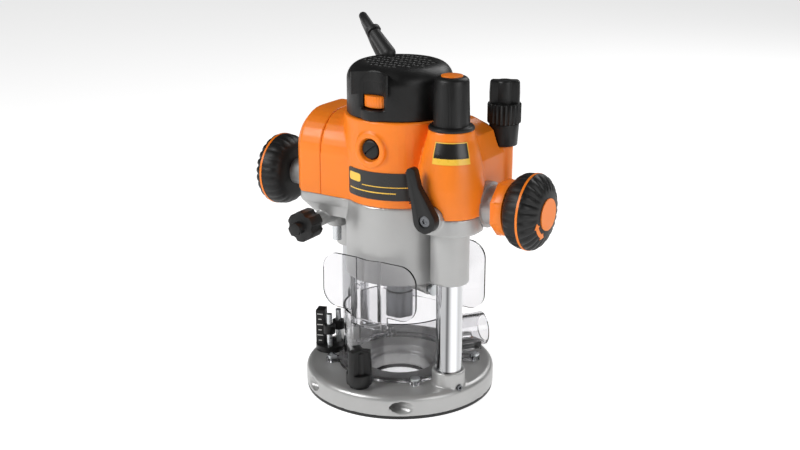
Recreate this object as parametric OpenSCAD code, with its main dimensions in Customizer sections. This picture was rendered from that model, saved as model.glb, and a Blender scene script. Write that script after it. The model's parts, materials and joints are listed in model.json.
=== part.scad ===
// Twin-column plunge router with a rack-driven depth winder.
// Origin: centre of the sole's underside. +Z up, -Y the front, +X the winder side.
// The motor head is drawn at the top of its travel.

/* [Base] */
// Diameter of the round base
base_d = 164; // [150:1:190]
// Height of the base's upper face above the work surface
base_top = 20; // [18:0.5:26]
// Thickness of the plastic sole
sole_t = 2.5; // [1.5:0.5:4]
// Diameter of the opening above the guide ledge
opening_d = 60; // [54:1:66]
// Diameter of the hole that the cutter passes through
cutter_hole_d = 51; // [40:1:52]
// Diameter of the two parallel-fence rods
fence_rod_d = 10; // [8:0.5:12]

/* [Columns] */
// Diameter of the guide columns
column_d = 22; // [18:0.5:24]
// Column axes' distance from the centre along X
column_x = 62; // [60:0.5:66]
// Column axes' distance from the centre along Y
column_y = 22; // [20:0.5:26]
// Plunge travel
travel = 59; // [40:1:60]
// Wall of the bronze bushes
bush_wall = 2; // [1.5:0.25:2.5]

/* [Motor head] */
// Height of the head casting's underside at rest
head_z = 104; // [104:1:112]
// Radius of the motor neck
neck_r = 46; // [44:0.5:46]
// Wall of the castings
wall = 3.5; // [2.5:0.25:4]
// Depth of the silver casting, from underside to joint line
casting_h = 67; // [62:1:74]
// Height of the coloured motor housing
housing_h = 71.5; // [68:0.5:80]
// Height of the black end cap
cap_h = 42; // [36:1:48]

/* [Winder] */
// Module of the rack and pinion
gear_m = 1; // [0.8:0.1:1.1]
// Teeth on the pinion
pinion_teeth = 19; // [18:1:21]
// Radius of the two round handles
knob_r = 31; // [28:0.5:33]
// Diameter of the winder shaft
winder_shaft_d = 10; // [8:0.5:11]

/* [Spindle] */
// Bore of the collet
collet_bore = 12.7; // [6.35:0.01:12.7]
// Diameter of the collet nut
nut_d = 24.6; // [23:0.1:28]

/* [Cord] */
// Diameter of the supply cord
cord_d = 7.5; // [6:0.5:9]

/* [Hidden] */
$fn = 48;

run_fit = 0.05;      // radial clearance of a moving fit
seat_fit = 0.02;     // radial clearance of a seated fit
gap = 0.5;           // open gap between separate bodies
e = 1;               // overshoot of a cut
base_r = base_d / 2;
base_round = 5;
column_r = column_d / 2;
column_boss_r = column_r + 3;
column_boss_top = base_top + 13;
column_foot = sole_t + 3;
column_ring = sqrt(column_x * column_x + column_y * column_y);
column_angle = atan2(column_y, column_x);
fence_y = base_r - 14;
fence_z = sole_t + 8;
fence_knob_x = 2.5;
turret_x = -64;
turret_y = -15;
stop_r = 8;
rod_angle = 60;
rod_x = turret_x + stop_r * cos(rod_angle);
rod_y = turret_y + stop_r * sin(rod_angle);
rod_r = 4;
drum_r_in = neck_r + 1;
drum_r = drum_r_in + 2.2;
drum_top = base_top + 51;
shield_y = drum_r_in + 0.6;
shield_t = 2.2;
bow_y = drum_r_in - 21;
bow_r = drum_r + 2.6 - bow_y;
guard_screws_at = [[40, -40], [-47, -37], [57, 32], [-40, 45]];
split_z = head_z + casting_h;
housing_top = split_z + housing_h;
cap_top = housing_top + cap_h;
sleeve_r = column_r + bush_wall + 3;
sleeve_z = head_z + 7;
bush_r = column_r + bush_wall;
bush_z = sleeve_z + 2;
bush_h = 44;
rack_flat = 1;
pinion_r = gear_m * pinion_teeth / 2;
handle_y = -column_y + column_r - rack_flat - gear_m + pinion_r;
handle_z = split_z + 5.5;
shaft_r = winder_shaft_d / 2;
left_column_top = split_z - 3;
seam_x = -55;
right_column_top = split_z + 24;
rack_low = handle_z - travel - 9;
rack_high = handle_z + 9;
tower_top = housing_top - 2.5;
micro_x = 79.7;
micro_y = 33.8;
lever_x = 60;
lever_y = -53;
lever_z = split_z + 1;
depth_knob_z = head_z + 43.5;
brush_z = split_z + 48;
dial_z = housing_top + 15;
cap_r = neck_r - 2;
bearing_r = 20;
lock_z = head_z - 7;
coil_x = -152;
coil_y = 258;
coil_out = 56;
coil_in = 25.3;
coil_h = 3 * cord_d + 0.5;

module at_column(side) {
    translate([side * column_x, -side * column_y, 0]) children();
}

module guard_screw_places() {
    for (p = guard_screws_at) translate([p[0], p[1], 0]) children();
}

module rod_z(r, z0, z1) {
    translate([0, 0, z0]) cylinder(r = r, h = z1 - z0);
}

// a cylinder along X, from x0 to x1, on the handle axis
module on_handle_axis(r, x0, x1) {
    translate([x0, handle_y, handle_z]) rotate([0, 90, 0]) cylinder(r = r, h = x1 - x0);
}

// a rounded rectangle with true arcs at its corners
module round_rect(x0, x1, y0, y1, r) {
    translate([x0 + r, y0]) square([x1 - x0 - 2 * r, y1 - y0]);
    translate([x0, y0 + r]) square([x1 - x0, y1 - y0 - 2 * r]);
    for (x = [x0 + r, x1 - r], y = [y0 + r, y1 - r]) translate([x, y]) circle(r);
}

// ---- base ----

module fence_zones() {
    for (side = [-1, 1]) translate([-base_r, side * fence_y - 11, 0]) cube([base_d, 22, base_top]);
}

module base_pocket() {
    difference() {
        rotate_extrude() translate([opening_d / 2 + 6, -e])
            square([base_r - 7 - opening_d / 2 - 6, sole_t + e + 8]);
        fence_zones();
        for (side = [-1, 1]) at_column(side) rod_z(column_boss_r, 0, base_top);
        translate([turret_x, turret_y, 0]) rod_z(9, 0, base_top);
        guard_screw_places() rod_z(5, 0, base_top);
    }
}

module base_casting() color([0.75, 0.75, 0.73]) difference() {
    union() {
        rotate_extrude() {
            translate([0, sole_t]) square([base_r - base_round, base_top - sole_t]);
            translate([0, sole_t]) square([base_r, base_top - sole_t - base_round]);
            intersection() {
                translate([base_r - base_round, base_top - base_round]) circle(base_round);
                translate([0, sole_t]) square([base_r, base_top]);
            }
        }
        for (side = [-1, 1]) at_column(side) rod_z(column_boss_r, sole_t, column_boss_top);
    }
    base_pocket();
    rod_z(opening_d / 2, base_top - 6, base_top + e);
    rod_z(cutter_hole_d / 2, -e, base_top);
    for (side = [-1, 1]) {
        at_column(side) rod_z(column_r + seat_fit, column_foot, column_boss_top + e);
        at_column(side) rotate([0, 0, side > 0 ? -column_angle : 180 - column_angle])
            translate([0, 0, base_top]) rotate([0, 90, 0]) cylinder(r = 2.5, h = column_boss_r + 5);
        translate([-base_r - e, side * fence_y, fence_z]) rotate([0, 90, 0])
            cylinder(d = fence_rod_d + 2 * run_fit, h = base_d + 2 * e);
    }
    translate([fence_knob_x, -fence_y, fence_z]) rod_z(3.05, 0, base_top);
    translate([turret_x, turret_y, 0]) rod_z(3.05, base_top - 12, base_top + e);
    guard_screw_places() rod_z(2.05, base_top - 12, base_top + e);
    sole_screw_places() rod_z(2.05, 0, sole_t + 8);
}

module sole_screw_places() {
    for (a = [45:90:315]) rotate([0, 0, a]) translate([opening_d / 2 + 2.8, 0, 0]) children();
}

module base_sole() color([0.12, 0.12, 0.12]) difference() {
    rod_z(base_r - 0.5, 0, sole_t);
    rod_z(cutter_hole_d / 2 - 0.5, -e, sole_t + e);
    sole_screw_places() {
        rod_z(2.1, -e, sole_t + e);
        translate([0, 0, 0.4]) cylinder(r1 = 4.1, r2 = 2.1, h = 1.7);
        rod_z(4.1, -e, 0.41);
    }
}

module sole_screws() color("gray") sole_screw_places() difference() {
    union() {
        rod_z(2, 0.5, sole_t + 7);
        translate([0, 0, 0.5]) cylinder(r1 = 3.9, r2 = 2, h = 1.6);
    }
    translate([0, 0, 0]) cylinder(r = 1.5, h = 1.4, $fn = 6);
}

module left_column() color([0.85, 0.86, 0.87]) at_column(-1) difference() {
    rod_z(column_r, column_foot, left_column_top);
    rod_z(column_r - 6, column_foot + 40, left_column_top + e);
}

// one gap of the rack: a trapezium that the pinion's teeth run in
module rack_gap() {
    pitch = PI * gear_m;
    slack = 0.12;
    half_mid = pitch / 4 + slack;
    lean = tan(20) * gear_m;
    rotate([90, 0, 90]) translate([0, 0, -column_d]) linear_extrude(2 * column_d)
        polygon([[-1.25 * gear_m, -half_mid + 1.25 * lean], [gear_m + e, -half_mid - lean - e * tan(20)],
            [gear_m + e, half_mid + lean + e * tan(20)], [-1.25 * gear_m, half_mid - 1.25 * lean]]);
}

module right_column() color([0.85, 0.86, 0.87]) at_column(1) difference() {
    rod_z(column_r, column_foot, right_column_top);
    rod_z(6.5, 100, right_column_top + e);
    translate([-column_d / 2, column_r - rack_flat, rack_low]) cube([column_d, column_d, 200]);
    gaps = floor((handle_z - rack_low - 2) / (PI * gear_m));
    for (i = [-gaps:3]) translate([0, column_r - rack_flat - gear_m, handle_z + i * PI * gear_m]) rack_gap();
}

module column_set_screws() color([0.2, 0.2, 0.2]) for (side = [-1, 1]) at_column(side)
    rotate([0, 0, side > 0 ? -column_angle : 180 - column_angle]) translate([column_r + 0.2, 0, base_top])
        rotate([0, 90, 0]) difference() {
            cylinder(r = 2.45, h = 4);
            translate([0, 0, 1.5]) cylinder(r = 1.4, h = 4, $fn = 6);
        }

// ---- guards ----

// half of the clear drum that stands on the base; it faces -Y
module guard_drum() {
    rotate([0, 0, 188]) rotate_extrude(angle = 164) translate([drum_r_in, base_top + 0.1])
        square([drum_r - drum_r_in, drum_top - base_top]);
    difference() {
        rotate([0, 0, 188]) rotate_extrude(angle = 164) translate([drum_r_in, base_top + 0.1])
            square([7, 2.6]);
        for (side = [-1, 1]) at_column(side) rod_z(column_boss_r + gap, base_top - e, column_boss_top);
        translate([turret_x, turret_y, 0]) rod_z(14, base_top - e, base_top + 9);
    }
}

// the foot around one guard screw
module guard_lug(p) {
    away = norm(p);
    translate([0, 0, base_top + 0.1]) rotate([0, 0, atan2(p[1], p[0])]) {
        translate([drum_r + 2, -5, 0]) cube([away - drum_r - 2, 10, 2.9]);
        translate([away, 0, 0]) cylinder(r = 5, h = 2.9);
    }
}

// plan of the front shield: two flat wings and a bowed middle
module shield_plan() {
    for (side = [-1, 1]) translate([side * 29.5 - 17.5, -shield_y - shield_t]) square([35, shield_t]);
    intersection() {
        translate([0, -bow_y]) difference() {
            circle(bow_r);
            circle(bow_r - shield_t);
        }
        translate([-16, -shield_y - 10]) square([32, 10 - shield_t / 4]);
    }
}

module shield_outline(ear_x, ear_z0, ear_z1) {
    rotate([90, 0, 0]) linear_extrude(base_r) union() {
        round_rect(-ear_x, ear_x, ear_z0, ear_z1, 15);
        translate([-18, drum_top - 5]) square([36, ear_z0 - drum_top + 25]);
    }
}

module front_guard() color([0.85, 0.9, 0.92, 0.4]) difference() {
    union() {
        guard_drum();
        guard_lug(guard_screws_at[0]);
        guard_lug(guard_screws_at[1]);
        intersection() {
            linear_extrude(200) shield_plan();
            shield_outline(46, base_top + 58, base_top + 106);
        }
        difference() {
            translate([0, 0, drum_top - 5]) linear_extrude(4.4) intersection() {
                translate([0, -bow_y]) circle(bow_r);
                translate([-20, -shield_y - 10]) square([40, 14]);
            }
            rod_z(drum_r_in + 1, 0, 200);
        }
    }
    guard_screw_places() rod_z(2.2, base_top - e, base_top + 5);
}

module rear_guard() color([0.85, 0.9, 0.92, 0.4]) difference() {
    union() {
        rotate([0, 0, 180]) guard_drum();
        guard_lug(guard_screws_at[2]);
        guard_lug(guard_screws_at[3]);
        translate([0, shield_y + shield_t, 0]) rotate([90, 0, 0]) linear_extrude(shield_t)
            round_rect(-57, 57, base_top + 40, base_top + 103, 15);
    }
    guard_screw_places() rod_z(2.2, base_top - e, base_top + 5);
    dust_port_axis() cylinder(r = 15.3, h = 60);
}

// the outlet leaves the drum to the rear right
module dust_port_axis() {
    rotate([0, 0, 52]) translate([30, 0, base_top + 17.3]) rotate([0, 90, 0]) children();
}

module dust_port() color([0.85, 0.9, 0.92, 0.5]) difference() {
    union() {
        dust_port_axis() translate([0, 0, 20]) cylinder(r = 14.8, h = 29);
        rotate([0, 0, 52]) translate([drum_r + 2, -13, base_top + 2.9]) cube([21, 26, 9]);
    }
    dust_port_axis() cylinder(r = 11.5, h = 60);
    rod_z(drum_r + 0.2, base_top, 100);
    at_column(1) rod_z(column_boss_r + gap, base_top, 100);
    translate([57, 32, 0]) rod_z(5.2, base_top, 40);
}

module guard_screws() color([0.8, 0.8, 0.78]) guard_screw_places() difference() {
    union() {
        rod_z(2, base_top - 9, base_top + 3.1);
        rod_z(4.2, base_top + 3.05, base_top + 5.6);
    }
    translate([0, 0, base_top + 4]) for (a = [0, 90]) rotate([0, 0, a]) cube([5.4, 1, 3], center = true);
}

// ---- fence clamp and stop turret ----

module fence_knob() color([0.13, 0.13, 0.13]) translate([fence_knob_x, -fence_y, 0]) {
    rod_z(2.95, fence_z + fence_rod_d / 2 + 0.4, base_top + 4);
    rod_z(8.6, base_top + 0.3, base_top + 3.5);
    translate([0, 0, base_top + 3.5]) cylinder(r1 = 11, r2 = 11, h = 9);
    intersection() {
        translate([0, 0, base_top + 12.5]) cylinder(r1 = 11, r2 = 9.6, h = 20.5);
        union() for (a = [20, 140, 260]) rotate([0, 0, a]) translate([4, 0, base_top + 22])
            cube([14, 7, 24], center = true);
    }
    rod_z(6, base_top + 12.5, base_top + 31);
}

module turret_body() color([0.12, 0.12, 0.12]) translate([turret_x, turret_y, 0]) difference() {
    union() {
        rod_z(2.95, base_top - 10, base_top + 5);
        rod_z(13, base_top + 0.3, base_top + 5.5);
        rotate([0, 0, 60 + 120 + 20]) translate([stop_r, 0, base_top + 21]) cube([7.5, 11, 33], center = true);
    }
    turret_stud_places() rod_z(2.5 + seat_fit, base_top, base_top + 6);
}

module turret_stud_places() {
    for (a = [rod_angle, rod_angle - 120]) rotate([0, 0, a]) translate([stop_r, 0, 0]) children();
}

module turret_studs() color([0.65, 0.7, 0.7]) translate([turret_x, turret_y, 0])
    turret_stud_places() rod_z(2.5, base_top + 1, base_top + 36);

module turret_nuts() color([0.1, 0.1, 0.1]) translate([turret_x, turret_y, 0]) turret_stud_places()
    difference() {
        rod_z(5.3, base_top + 18, base_top + 26);
        rod_z(2.5 + seat_fit, base_top + 17, base_top + 27);
    }

// ---- head casting ----

module neck() {
    rod_z(neck_r, head_z, split_z);
}

// bowl-shaped left end under the joint line
module left_bowl(inset) {
    hull() {
        translate([0, 0, split_z - 8]) linear_extrude(8 + inset)
            round_rect(-83 + inset, -20, -38 + inset, 44 - inset, 14 - inset, $fn = 32);
        translate([0, 0, split_z - 21 + inset]) linear_extrude(1)
            round_rect(-72 + inset, -20, -28 + inset, 34 - inset, 10 - inset, $fn = 32);
    }
}

module right_deck(z0, z1, inset) {
    translate([0, 0, z0]) linear_extrude(z1 - z0) {
        translate([column_x, -column_y]) circle(27 - inset);
        round_rect(15, 84 - inset, -column_y, 38 - inset, 10 - inset);
    }
}

module head_casting() color([0.74, 0.74, 0.72]) difference() {
    union() {
        neck();
        left_bowl(0);
        right_deck(split_z - 14, split_z, 0);
        for (side = [-1, 1]) at_column(side) rod_z(sleeve_r, sleeve_z, split_z);
        translate([rod_x, rod_y, 0]) rod_z(8.5, head_z + 32, split_z);
        housing_screw_places() rod_z(5.2, split_z - 11, split_z);
        translate([rod_x, rod_y, depth_knob_z]) rotate([90, 0, 0]) cylinder(r = 6.5, h = 35);
        translate([lever_x, -column_y - 18, lever_z]) rotate([90, 0, 0])
            cylinder(r = 10, h = -lever_y - column_y - 18 - 0.3);
        translate([micro_x, micro_y, 0]) rod_z(8, split_z - 21, split_z);
        rotate([0, 0, -column_angle]) {
            translate([14, 0, lock_z]) rotate([0, 90, 0]) cylinder(r = 5.5, h = 27);
            translate([22, -3.5, lock_z]) cube([18, 7, 10]);
        }
    }
    rod_z(neck_r - wall, head_z + 18, split_z + e);
    rod_z(bearing_r + seat_fit, head_z + 3, head_z + 19);
    rod_z(12.5, head_z - e, head_z + 4);
    difference() {
        left_bowl(wall);
        rod_z(neck_r - 1, 0, split_z + 20);
        at_column(-1) rod_z(sleeve_r, 0, split_z + 20);
        translate([rod_x, rod_y, 0]) rod_z(8.5, 0, split_z + 20);
        housing_screw_places() rod_z(5.2, 0, split_z + 20);
    }
    difference() {
        right_deck(split_z - 10, split_z + e, wall);
        rod_z(neck_r - 1, 0, split_z + 20);
        at_column(1) rod_z(sleeve_r, 0, split_z + 20);
        translate([micro_x, micro_y, 0]) rod_z(8, 0, split_z + 20);
        translate([lever_x - 10, lever_y, 0]) cube([20, 20, 300]);
        housing_screw_places() rod_z(5.2, 0, split_z + 20);
    }
    for (side = [-1, 1]) at_column(side) {
        rod_z(bush_r + seat_fit, sleeve_z - e, bush_z + bush_h);
        rod_z(column_r + gap, sleeve_z - e, split_z + e);
    }
    pinion_space();
    housing_screw_places() {
        rod_z(2 + seat_fit, split_z - 8, split_z + e);
        rod_z(3.6 + seat_fit, split_z - 40, split_z - 7);
    }
    translate([rod_x, rod_y, 0]) rod_z(rod_r + run_fit, head_z, split_z + e);
    translate([rod_x, rod_y, depth_knob_z]) rotate([90, 0, 0]) cylinder(r = 3 + run_fit, h = 60);
    translate([lever_x, -column_y - 5, lever_z]) rotate([90, 0, 0]) cylinder(r = 4 + run_fit, h = 60);
    translate([micro_x, micro_y, 0]) rod_z(3 + run_fit, 0, split_z + e);
    translate([0, 0, lock_z]) rotate([0, 0, -column_angle]) rotate([0, 90, 0])
        cylinder(r = 3 + run_fit, h = 46);
    on_handle_axis(shaft_r + run_fit, 48, 90);
    on_handle_axis(16.5 + seat_fit, 80, 90);
    on_handle_axis(19.1, 84, 110);
    on_handle_axis(11.3 + seat_fit, -110, -76);
}

// room around the pinion and the winder shaft
module pinion_space() {
    on_handle_axis(pinion_r + gear_m + 1, column_x - 6.5, column_x + 6.5);
}

module column_bushes() color([0.72, 0.55, 0.3]) for (side = [-1, 1]) at_column(side) difference() {
    rod_z(bush_r, bush_z, bush_z + bush_h - 1);
    rod_z(column_r + run_fit, bush_z - e, bush_z + bush_h);
    if (side > 0) on_rack_side() cube([10, 10, 100]);
}

module on_rack_side() {
    translate([-5, column_r + 40, 0]) children();
}

// ---- motor housing ----

// profile across the left block, looking along X
module left_profile(inset, z0) {
    hull() {
        translate([-38 + inset, z0]) square([82 - 2 * inset, 2]);
        translate([-6, split_z + 37]) circle(32 - inset, $fn = 32);
        translate([20, split_z + 45]) circle(24 - inset, $fn = 32);
    }
}

module left_block(inset) {
    hull() {
        translate([-76, 0, 0]) rotate([90, 0, 90]) linear_extrude(61) left_profile(inset, split_z - inset);
        translate([-83 + inset, 0, 0]) rotate([90, 0, 90]) linear_extrude(1)
            left_profile(7 + inset, split_z - inset);
    }
}

module right_block(inset) {
    hull() {
        translate([0, 0, split_z - inset]) linear_extrude(42)
            round_rect(15, 84 - inset, -15 + inset, 38 - inset, 10 - inset, $fn = 32);
        translate([0, 0, split_z + 60 - inset]) linear_extrude(1)
            round_rect(15, 77 - inset, -10 + inset, 31 - inset, 10 - inset, $fn = 32);
        translate([0, 0, housing_top - 2 - inset]) linear_extrude(1)
            round_rect(15, 62 - inset, -5 + inset, 22 - inset, 10 - inset, $fn = 32);
    }
}

// bell-shaped tower around the right column
module spring_tower() {
    at_column(1) rotate_extrude() polygon([[0, split_z], [27, split_z], [28, split_z + 12],
        [27.5, split_z + 24], [25.5, split_z + 38], [22.5, split_z + 52], [19.5, split_z + 62],
        [18.6, tower_top], [0, tower_top]]);
}

module brush_boss() {
    for (side = [-1, 1]) translate([0, side * 47.5, brush_z]) rotate([side * 90, 0, 0])
        cylinder(r = 14.5, h = 20);
}

module motor_housing() color([0.98, 0.5, 0.1]) difference() {
    union() {
        rod_z(neck_r, split_z, housing_top);
        intersection() {
            left_block(0);
            translate([seam_x, -60, 0]) cube([60, 120, 300]);
        }
        right_block(0);
        spring_tower();
        brush_boss();
        translate([micro_x, micro_y, 0]) rod_z(8, split_z, housing_top - 25);
    }
    rod_z(neck_r - wall, split_z - e, housing_top - 11);
    rod_z(16, split_z, housing_top + e);
    difference() {
        union() {
            left_block(wall);
            right_block(wall);
        }
        rod_z(neck_r - 1, 0, 300);
        at_column(1) rod_z(15.5, 0, 300);
        translate([micro_x, micro_y, 0]) rod_z(8, 0, 300);
        housing_screw_places() rod_z(5.2, 0, split_z + 9);
    }
    housing_screw_places() rod_z(2 + seat_fit, 0, split_z + 7);
    at_column(1) {
        rod_z(column_r + 1.5, split_z - e, tower_top + e);
        rod_z(15.4, tower_top - 2, tower_top + e);
        rod_z(18.7, tower_top, tower_top + 20);
    }
    pinion_space();
    for (side = [-1, 1]) {
        translate([0, 0, brush_z]) rotate([side * 90, 0, 0]) cylinder(r = 8 + seat_fit, h = 60);
        translate([0, -side * 43, brush_z]) rotate([side * 90, 0, 0]) cylinder(r = 9.6, h = 10);
    }
    translate([micro_x, micro_y, 0]) {
        rod_z(12.6, housing_top - 25, 300);
        rod_z(3 + run_fit, 0, 300);
    }
    on_handle_axis(shaft_r + run_fit, 48, 90);
    on_handle_axis(16.5 + seat_fit, 80, 90);
    on_handle_axis(19.1, 84, 110);
    translate([lever_x, -column_y - 17.9, lever_z]) rotate([90, 0, 0]) cylinder(r = 10 + seat_fit, h = 30);
    translate([lever_x, -column_y - 5, lever_z]) rotate([90, 0, 0]) cylinder(r = 4.5, h = 30);
    translate([rod_x, rod_y, 0]) rod_z(rod_r + 1.5, 0, split_z + 58);
    switch_place() cube([17 + 2 * seat_fit, 14, 22 + 2 * seat_fit], center = true);
}

module switch_place() {
    translate([-43, 38, split_z + 28]) children();
}

module left_cover() color([0.98, 0.5, 0.1]) difference() {
    intersection() {
        left_block(0);
        translate([seam_x - 40.2, -60, 0]) cube([40, 120, 300]);
    }
    difference() {
        left_block(wall);
        housing_screw_places() rod_z(5.2, 0, split_z + 9);
    }
    housing_screw_places() rod_z(2 + seat_fit, 0, split_z + 7);
    on_handle_axis(11.3 + seat_fit, -110, -76);
    translate([rod_x, rod_y, 0]) rod_z(rod_r + 1.5, 0, split_z + 64);
}

module housing_screw_places() {
    for (p = [[-76, -25], [-44, 36], [75.5, 22], [40, 29]]) translate([p[0], p[1], 0]) children();
}

module housing_screws() color([0.55, 0.55, 0.55]) housing_screw_places() difference() {
    union() {
        rod_z(2, split_z - 8, split_z + 6);
        rod_z(3.6, split_z - 9.5, split_z - 7);
    }
    translate([0, 0, split_z - 10]) cylinder(r = 1.6, h = 1.8, $fn = 6);
}

module end_cap() color([0.13, 0.13, 0.13]) difference() {
    union() {
        at_dome(cap_r, cap_top, 14);
        translate([0, -30, 0]) rod_z(16.5, housing_top, dial_z - 6);
    }
    rod_z(cap_r - wall, housing_top - e, cap_top - 12);
    rod_z(31, cap_top - 13, cap_top - 3);
    translate([0, -56, dial_z - 6]) cylinder(r = 18.5, h = 60);
    translate([0, -29, dial_z - 5.3]) cylinder(r = 14.6, h = 10.6);
    translate([0, -29, housing_top + 3]) cylinder(r = 12, h = 8);
    at_column(1) rod_z(19.4, housing_top - 10, 400);
    for (row = [-3:3]) for (slot = [-3:3]) if (sqrt(row * row + slot * slot) < 3.4)
        translate([slot * 8.5, row * 8.2, cap_top - 2]) cube([6.4, 4.2, 9], center = true);
    translate([-24, 20, cap_top - 20]) cylinder(r = 6 + seat_fit, h = 30);
}

// a closed round drum with a rounded upper edge
module at_dome(r, top, round) {
    rotate_extrude() {
        translate([0, housing_top]) square([r - round, top - housing_top]);
        translate([0, housing_top]) square([r, top - housing_top - round]);
        translate([r - round, top - round]) circle(round);
    }
}

module spring_cover() color([0.14, 0.14, 0.14]) at_column(1) difference() {
    rotate_extrude() {
        polygon([[0, tower_top - 1.8], [15.2, tower_top - 1.8], [15.2, tower_top], [18.6, tower_top],
            [18.6, tower_top + 1.6], [17.4, tower_top + 3], [14.8, tower_top + 3.4],
            [13.8, tower_top + 38], [0, tower_top + 38]]);
        translate([0, tower_top + 37]) square([9.8, 5]);
        translate([9.6, tower_top + 37.8]) circle(4.18);
    }
    rod_z(12.2, tower_top - 3, tower_top + 38.5);
    rod_z(8.7 + seat_fit, tower_top + 41, tower_top + 50);
}

module spring_cover_disc() color([0.9, 0.45, 0.12]) at_column(1)
    rod_z(8.7, tower_top + 41, tower_top + 43);

module brush_caps() color([0.1, 0.1, 0.1]) for (side = [-1, 1]) translate([0, side * 46, brush_z])
    rotate([side * 90, 0, 0]) difference() {
        union() {
            cylinder(r = 9.2, h = 2.8);
            cylinder(r = 7.9, h = 8);
        }
        translate([0, 0, 0]) cube([13, 1.8, 2.4], center = true);
    }

module brush_holders() color([0.8, 0.65, 0.3]) for (side = [-1, 1]) translate([0, side * 26, brush_z])
    difference() {
        cube([9, 22, 13], center = true);
        cube([6.4, 30, 10.4], center = true);
    }

module carbon_brushes() color([0.2, 0.2, 0.22]) for (side = [-1, 1])
    translate([0, side * (13.3 + 8), brush_z]) cube([6, 16, 10], center = true);

module field_stack() color([0.45, 0.45, 0.47]) difference() {
    rod_z(neck_r - wall - 0.3, head_z + 42, head_z + 92);
    rod_z(24.6, head_z + 41, head_z + 93);
    for (a = [0, 180]) rotate([0, 0, a]) rotate([0, 0, -24]) translate([0, 0, head_z + 41])
        rotate_extrude(angle = 48) translate([24, 0]) square([10, 52]);
}

module field_coils() color([0.72, 0.4, 0.2]) for (a = [90, 270], z = [head_z + 34, head_z + 92.3])
    rotate([0, 0, a - 66]) rotate_extrude(angle = 132) translate([26.5, z]) square([9.5, 7.5]);

module motor_bearings() color([0.7, 0.7, 0.72]) {
    difference() {
        rod_z(bearing_r, head_z + 3, head_z + 15);
        rod_z(8.5 + seat_fit, head_z, head_z + 20);
        translate([0, 0, head_z + 14]) rotate_extrude() translate([11.5, 0]) square([4.5, 2]);
    }
    difference() {
        rod_z(13, housing_top - 9, housing_top - 1);
        rod_z(5 + seat_fit, housing_top - 12, housing_top + 2);
    }
    difference() {
        rod_z(15.98, housing_top - 9.5, housing_top + 1);
        rod_z(13 + seat_fit, housing_top - 12, housing_top - 1);
        rod_z(6, housing_top - 12, housing_top + 2);
    }
}

module speed_board() color([0.1, 0.35, 0.15]) {
    translate([-24, 8, housing_top + 3]) cube([48, 24, 1.8]);
    translate([-18, 12, housing_top + 4.8]) cube([14, 14, 9]);
    translate([4, 12, housing_top + 4.8]) cube([10, 16, 12]);
}

module switch_body() color([0.12, 0.12, 0.12]) switch_place() difference() {
    translate([0, -0.5, 0]) cube([17, 13, 22], center = true);
    translate([0, 3.5, 0]) cube([13, 12, 18], center = true);
}

module switch_rocker() color([0.5, 0.08, 0.06]) switch_place() rotate([0, 90, 0]) intersection() {
    translate([0, 1.5, 0]) cylinder(r = 7.2, h = 12, center = true);
    translate([0, 3, 0]) cube([13, 8, 13], center = true);
}

// ---- handles ----

module handle_spigots() color([0.78, 0.78, 0.77]) {
    difference() {
        union() {
            on_handle_axis(16.5, 80.5, 104);
            on_handle_axis(19, 84, 89);
        }
        on_handle_axis(shaft_r + run_fit, 78, 110);
    }
    on_handle_axis(11.3, -118, -77);
    intersection() {
        translate([-86, handle_y + 2, handle_z + 12]) rotate([0, 90, 0]) cylinder(r = 23, h = 2.8);
        translate([-90, -60, split_z + 1]) cube([8, 120, 60]);
    }
}

// a round handle, drawn along its own axis from its inner face at 0
module handle_shape(scale_r) {
    rotate_extrude() polygon([[0, 0], [19, 0], [24, 1], [27.5, 3.5], [30, 7.5], [scale_r, 13],
        [scale_r, 19], [29.4, 22], [26.8, 24.6], [23, 27], [18.5, 28.6], [14, 29.4], [0, 29.4]]);
}

module handle_band(r) {
    difference() {
        cylinder(r = r + 0.35, h = 1.8);
        translate([0, 0, -e]) cylinder(r = r - 1.5, h = 4);
    }
}

module band_groove(r) {
    difference() {
        cylinder(r = r + 5, h = 1.84);
        translate([0, 0, -e]) cylinder(r = r - 1.5 - seat_fit, h = 4);
    }
}

module left_knob_place() {
    translate([-105, handle_y, handle_z]) rotate([0, -90, 0]) children();
}

module right_knob_place() {
    translate([110.5, handle_y, handle_z]) rotate([0, 90, 0]) children();
}

module left_knob() color([0.1, 0.1, 0.1]) left_knob_place() difference() {
    handle_shape(knob_r);
    translate([0, 0, 15.98]) band_groove(knob_r);
    translate([0, 0, -e]) cylinder(r = 11.3 + seat_fit, h = 14.2);
}

module left_knob_band() color([0.95, 0.5, 0.15]) left_knob_place() translate([0, 0, 16])
    handle_band(knob_r);

module right_knob() color([0.1, 0.1, 0.1]) right_knob_place() difference() {
    handle_shape(knob_r);
    translate([0, 0, 15.98]) band_groove(knob_r);
    translate([0, 0, -e]) cylinder(r = shaft_r + seat_fit, h = 25);
    translate([0, 0, 28]) cylinder(r = 13 + seat_fit, h = 5);
}

module right_knob_band() color([0.95, 0.5, 0.15]) right_knob_place() translate([0, 0, 16])
    handle_band(knob_r);

module right_knob_cap() color([1, 0.55, 0.1]) right_knob_place() translate([0, 0, 28.05])
    cylinder(r = 13, h = 2.2);

module selector_ring() color([0.9, 0.38, 0.1]) difference() {
    union() {
        on_handle_axis(23, 103, 109.8);
        translate([99.5, handle_y, handle_z]) rotate([0, 90, 0]) rotate([0, 0, 22.5])
            cylinder(r = 23.4, h = 4, $fn = 8);
    }
    on_handle_axis(16.5 + gap, 90, 115);
}

// half the angle that a tooth fills at radius r
function tooth_half(r) = 90 / pinion_teeth - 0.6 + inv_deg(20) - inv_deg(acos(min(1, pinion_r * cos(20) / r)));
function inv_deg(a) = tan(a) * 180 / PI - a;

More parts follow.
